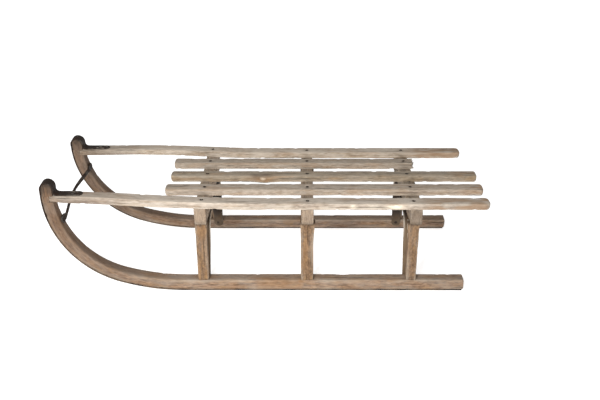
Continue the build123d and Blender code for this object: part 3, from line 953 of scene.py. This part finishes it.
def add(tree, kind, links, out=0, stops=(), **settings):
    """Add a node with its inputs and settings, and give one of its outputs.

    stops are the places and colours of a ramp, each a hex colour or a grey from 0 to 1.
    """
    made = tree.nodes.new("ShaderNode" + kind)
    for key, value in settings.items():
        setattr(made, key, value)
    for number, (place, colour) in enumerate(stops):
        elements = made.color_ramp.elements
        while len(elements) < len(stops):
            elements.new(0.5)
        elements[number].position = place
        elements[number].color = linear(colour) if isinstance(colour, str) else 3 * [colour] + [1]
    wire(tree, made, links)
    return made.outputs[out]


def weighted(tree, *parts):
    """The sum of values, each times its share."""
    total = 0.0
    for value, share in parts:
        total = add(tree, "Math", {0: value, 1: share, 2: total}, operation="MULTIPLY_ADD")
    return total


def layered(tree, colour, *layers):
    """Lay colours over one another, each by its mask, its strength and its colour. A mask is an output,
    or the name of a value that the mesh carries."""
    for mask, strength, over in layers:
        if isinstance(mask, str):
            mask = add(tree, "Attribute", {}, "Fac", attribute_name=mask)
        covered = weighted(tree, (mask, strength))
        colour = add(tree, "Mix", {0: covered, 6: colour, 7: over}, 2, data_type="RGBA")
    return colour


def new_material(name):
    """A material, its node tree and its Principled shader."""
    material = bpy.data.materials.new(name)
    material.use_nodes = True
    tree = material.node_tree
    return material, tree, tree.nodes["Principled BSDF"]


def weathered_ash(name, pale, middle, deep, grey=0.4, ochre=0.25, run=1.0, silvered="9D968C"):
    """Old bare ash, sawn and planed by hand: silvered fibres over brown wood, dark in its open pores.

    run is how far its mottling is drawn out along the grain, silvered the grey that weather gave it.
    """
    material, tree, shader = new_material(name)
    source = add(tree, "Attribute", {}, "Vector", attribute_name="grain")

    def grained(along, across, detail):
        """Noise drawn out along the grain: sizes in millimetres along and across it."""
        size = (1000 / along, 1000 / across, 1000 / across)
        drawn = add(tree, "Mapping", {"Vector": source, "Scale": size})
        return add(tree, "TexNoise", {"Vector": drawn, "Scale": 1.0, "Detail": detail, "Roughness": 0.6})

    fibres = grained(45, 1.1, 5)
    mottles = grained(17 * run, 3.8, 5)
    streaks = grained(150 * run, 5.5, 3)
    patches = grained(75, 22, 3)
    warmth = grained(40 * run, 8, 3)
    wander = grained(160, 14, 2)
    # growth rings round the tree's middle, drifting by up to 6 mm along the stick
    along, across, up = add(tree, "SeparateXYZ", {0: source}).node.outputs
    from_pith = add(tree, "Math", {0: weighted(tree, (across, across), (up, up))}, operation="SQRT")
    rings = 1000 / ring_pitch
    ring = weighted(tree, (from_pith, rings), (wander, 0.006 * rings), (along, 0.006 * rings))
    ring = add(tree, "Math", {0: ring}, operation="FRACT")
    late_wood = add(tree, "ValToRGB", {0: ring}, stops=((0.0, 0.0), (0.62, 0.15), (0.86, 1.0), (1.0, 0.1)))
    tone = weighted(tree, (streaks, 0.33), (mottles, 0.67), (fibres, 0.3))
    brown = add(tree, "ValToRGB", {0: tone}, stops=((0.50, deep), (0.65, middle), (0.80, pale)))
    warm = add(tree, "ValToRGB", {0: warmth}, stops=((0.5, 0.0), (0.66, 1.0)))
    # silver grey where weather got at it, most on the faces that look up
    skyward = add(tree, "SeparateXYZ", {0: add(tree, "NewGeometry", {}, "Normal")}, 2)
    upper = weighted(tree, (add(tree, "Math", {0: skyward, 1: 0.0}, operation="MAXIMUM"), 0.5))
    exposed = add(tree, "ValToRGB", {0: patches}, stops=((0.40, 0.0), (0.62, 0.8)))
    silver = add(tree, "Math", {0: exposed, 1: upper}, operation="ADD", use_clamp=True)
    pores = add(tree, "ValToRGB", {0: grained(16, 0.9, 3)}, stops=((0.31, 1.0), (0.41, 0.0)))
    # sawn ends: the saw's scratches run down them
    down = add(tree, "Mapping", {"Vector": source, "Scale": (400, 700, 45)})
    scratches = add(tree, "TexNoise", {"Vector": down, "Scale": 1.0, "Detail": 3.0})
    scratched = add(tree, "ValToRGB", {0: scratches}, stops=((0.38, 0.2), (0.62, 0.85)))
    end_grain = add(tree, "Mix", {0: scratched, 6: deep, 7: pale}, 2, data_type="RGBA")
    handled = add(tree, "ValToRGB", {0: patches}, stops=((0.35, 0.1), (0.7, 0.75)))
    rubbed = weighted(tree, (add(tree, "Attribute", {}, "Fac", attribute_name="edge"), handled))
    # the dark layer is real dark wood, and also painted shade on the posts' inner faces and the toes'
    # hollows and painted falloff of the light at the rear ends; the bare layer is pale wood, and also a
    # painted highlight on two posts' arrises
    colour = layered(
        tree, brown, (late_wood, 0.22, deep), (warm, ochre, "9C7A50"), (silver, grey, silvered),
        (pores, 0.45, "3F3227"), ("sawn", 0.7, end_grain), (rubbed, 0.4, "C2B4A0"),
        ("tan", 0.7, "8E6A45"), ("bare", 1.0, "E6D9C4"), ("dark", 0.62, "402B1D"),
        ("stain", 0.85, "2E241C"), ("split", 0.9, "1E1712"),
    )
    height = weighted(tree, (fibres, 1.0), (late_wood, 0.35), (pores, -1.0))
    wire(tree, shader, {
        "Base Color": colour,
        "Roughness": weighted(tree, (fibres, 0.2), (1.0, 0.68)),
        "Normal": add(tree, "Bump", {"Height": height, "Strength": 0.4, "Distance": 0.0008}),
        "Specular IOR Level": 0.25,
    })
    return material


def forged_iron(name, kind, out, **settings):
    """Hand-forged strap iron: black-brown scale from the fire, dull as soot, thin rust in its pits and
    where damp stood, and bare metal only on rubbed edges. kind and out name what its noise reads."""
    material, tree, shader = new_material(name)
    source = add(tree, kind, {}, out, **settings)
    coarse = add(tree, "TexNoise", {"Vector": source, "Scale": 70.0, "Detail": 5.0, "Roughness": 0.65})
    fine = add(tree, "TexNoise", {"Vector": source, "Scale": 700.0, "Detail": 3.0, "Roughness": 0.6})
    rust = add(tree, "ValToRGB", {0: coarse}, stops=((0.50, 0.0), (0.64, 1.0)))
    scale = add(tree, "ValToRGB", {0: fine}, stops=((0.3, "18110C"), (0.7, "2A1F17")))
    bare = add(tree, "ValToRGB", {0: coarse}, stops=((0.38, 0.1), (0.5, 0.0)))
    worn = weighted(tree, (add(tree, "Attribute", {}, "Fac", attribute_name="edge"), bare))
    # rubbed is rubbed metal, and also a painted highlight on the braces' arrises and a painted reflection on
    # the right tongue; the right brace leg is left black above its foot as painted shade
    rubbed = add(tree, "Attribute", {}, "Fac", attribute_name="rubbed")
    worn = add(tree, "Math", {0: worn, 1: rubbed}, operation="MAXIMUM")
    height = weighted(tree, (coarse, 0.6), (fine, 0.4))
    wire(tree, shader, {
        "Base Color": layered(tree, scale, (rust, 0.5, "3B2516"), ("rusty", 0.9, "77634D"),
                              (worn, 1.0, "B5AB9E")),
        "Metallic": weighted(tree, (worn, 0.7)),
        "Roughness": weighted(tree, (1.0, 0.62), (rust, 0.25), (worn, -0.2)),
        "Normal": add(tree, "Bump", {"Height": height, "Strength": 0.5, "Distance": 0.0005}),
        "Specular IOR Level": 0.22,
    })
    return material


strap_finish = forged_iron("forged_iron", "Attribute", "Vector", attribute_name="grain")
screw_finish = forged_iron("browned_screws", "TexCoord", "Object")
finishes = {
    "rail_wood_left": weathered_ash("ash_rail_left", "C3B5A5", "A49586", "716355", 0.58, silvered="BBB2A6"),
    "rail_wood_right": weathered_ash("ash_rail_right", "C1B3A2", "A29382", "716250", 0.6, silvered="BEB4A7"),
    "slat_wood_left": weathered_ash("ash_slat_left", "BEAF9E", "A09080", "716252"),
    "slat_wood_center": weathered_ash("ash_slat_center", "A3927D", "85755F", "594A3B"),
    "slat_wood_right": weathered_ash("ash_slat_right", "AFA090", "938474", "655647"),
    "runner_wood_left": weathered_ash("bent_ash_left", "A1846A", "826751", "554132", 0.42, 0.35, 0.8),
    # the far runner's wood is a darker copy of the near one's: painted shade under the seat
    "runner_wood_right": weathered_ash("bent_ash_right_shaded", "967B65", "78604D", "503E31", 0.3, 0.3, 0.8),
    # the rear beam's wood is a darker copy of the other beams': painted falloff of the light towards the
    # rear
    "beam_wood_rear": weathered_ash("ash_beam_rear_shaded", "8F7E6D", "71614F", "4B3E33", 0.35, 0.15),
    "beam_wood": weathered_ash("ash_beams", "AB9781", "877461", "5C4C40", 0.35, 0.15),
    "post_wood": weathered_ash("ash_posts", "8E7156", "6E553E", "493627", 0.22, 0.4, 0.35),
    "": strap_finish,
}
for piece in bpy.data.objects:
    if piece.type != "MESH":
        continue
    if piece.name.endswith("_screws"):
        for material_slot in piece.material_slots:
            material_slot.material = screw_finish
    elif "grain" in piece.data.attributes:
        # the first name that the piece's own begins with
        first = next(beginning for beginning in finishes if piece.name.startswith(beginning))
        piece.data.materials.append(finishes[first])


# ---- floor, light and camera ----
def plane(name, size, z):
    """A flat square round the origin."""
    mesh = bpy.data.meshes.new(name)
    half = size / 2
    points = [(-half, -half, z), (half, -half, z), (half, half, z), (-half, half, z)]
    mesh.from_pydata(points, [], [(0, 1, 2, 3)])
    piece = bpy.data.objects.new(name, mesh)
    bpy.context.scene.collection.objects.link(piece)
    return piece


floor = plane("pale_floor", 40.0, 0.0)
floor_finish, floor_tree, floor_shader = new_material("white_paper")
# rolled backdrop paper: matt, and so brightly lit that hardly a shadow shows on it
wire(floor_tree, floor_shader, {
    "Base Color": "F7F7F7", "Roughness": 0.9, "Specular IOR Level": 0.1,
    "Emission Color": "FFFFFF", "Emission Strength": 0.6,
})
floor.data.materials.append(floor_finish)

world = bpy.data.worlds.new("white_room")
bpy.context.scene.world = world
world.use_nodes = True
world.node_tree.nodes["Background"].inputs[0].default_value = (1, 1, 1, 1)
world.node_tree.nodes["Background"].inputs[1].default_value = 0.5


def soft_box(name, place, aim, size, power):
    """A square studio light that points at a place."""
    light = bpy.data.lights.new(name, "AREA")
    light.shape = "SQUARE"
    light.size = size
    light.energy = power
    lamp = bpy.data.objects.new(name, light)
    lamp.location = place
    to = np.array(aim) - np.array(place)
    lamp.rotation_euler = (np.arctan2(np.hypot(to[0], to[1]), -to[2]), 0, np.arctan2(-to[0], to[1]))
    bpy.context.scene.collection.objects.link(lamp)


soft_box("key", place=(-0.5, -1.75, 1.25), aim=(-0.02, 0, 0.15), size=0.7, power=42)

camera_data = bpy.data.cameras.new("camera")
camera_data.lens = 45.12
camera_data.sensor_width = 36.0
camera = bpy.data.objects.new("camera", camera_data)
camera.location = (0.0858, -1.73599, 1.17981)
camera.rotation_euler = (np.radians(59.95), 0, np.radians(0.05))
bpy.context.scene.collection.objects.link(camera)
bpy.context.scene.camera = camera
bpy.context.scene.view_settings.view_transform = "Standard"

bpy.context.view_layer.update()
